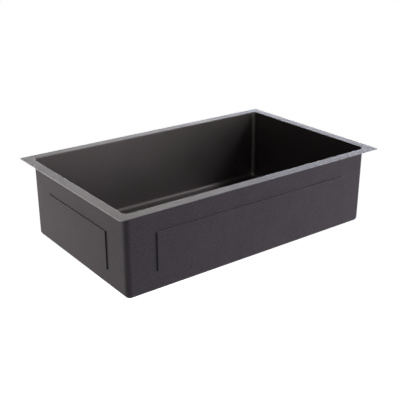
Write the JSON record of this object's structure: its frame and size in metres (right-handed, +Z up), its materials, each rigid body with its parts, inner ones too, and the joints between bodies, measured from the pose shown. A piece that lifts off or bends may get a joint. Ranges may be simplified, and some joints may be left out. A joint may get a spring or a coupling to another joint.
{
  "type": "undermount kitchen sink",
  "caption": "Rectangular single-bowl undermount sink with a flat rim, damping pads and a basket strainer waste whose basket lifts and turns.",
  "frame": {"origin": "centre of the bowl's opening, in the plane of the rim's top face", "axes": "+X along the bowl's long side to the right, +Y to the back wall (drain side), +Z up out of the bowl"},
  "size_m": [0.76, 0.475, 0.3638],
  "materials": {
    "brushed_sheet": "brushed sheet steel, gunmetal coating",
    "coated_pad": "rubber sheet under a sprayed undercoat",
    "waste_steel": "brushed, gunmetal coating",
    "tube_brass": "plated brass tube",
    "foam_rubber": "closed-cell foam",
    "black_rubber": "moulded",
    "fibre": "pressed fibre board",
    "cast_zinc": "die-cast zinc",
    "white_nylon": "moulded nylon"
  },
  "bodies": {
    "sink": {"bowl_shell": "brushed_sheet", "damping_pad_front": "coated_pad", "damping_pad_back": "coated_pad", "damping_pad_left": "coated_pad", "damping_pad_right": "coated_pad", "damping_pad_floor_left": "coated_pad", "damping_pad_floor_right": "coated_pad", "damping_pad_floor_front": "coated_pad", "strainer_body": "waste_steel", "flange_gasket": "foam_rubber", "sealing_washer": "black_rubber", "friction_ring": "fibre", "locknut": "cast_zinc", "tailpiece_washer": "white_nylon", "tailpiece": "tube_brass", "coupling_nut": "cast_zinc"},
    "stopper": {"stopper_seal": "black_rubber"},
    "basket": {"basket_cup": "waste_steel", "basket_post": "waste_steel", "basket_knob": "waste_steel", "seal_washer": "waste_steel", "post_nut": "waste_steel"}
  },
  "joints": [
    {"name": "basket_lift", "type": "slide", "parent": "sink", "child": "stopper", "axis": [0, 0, 1], "range_m": [0, 0.3]},
    {"name": "basket_turn", "type": "hinge", "parent": "stopper", "child": "basket", "pos_m": [0, 0.0825, -0.23], "axis": [0, 0, 1], "continuous": true}
  ]
}
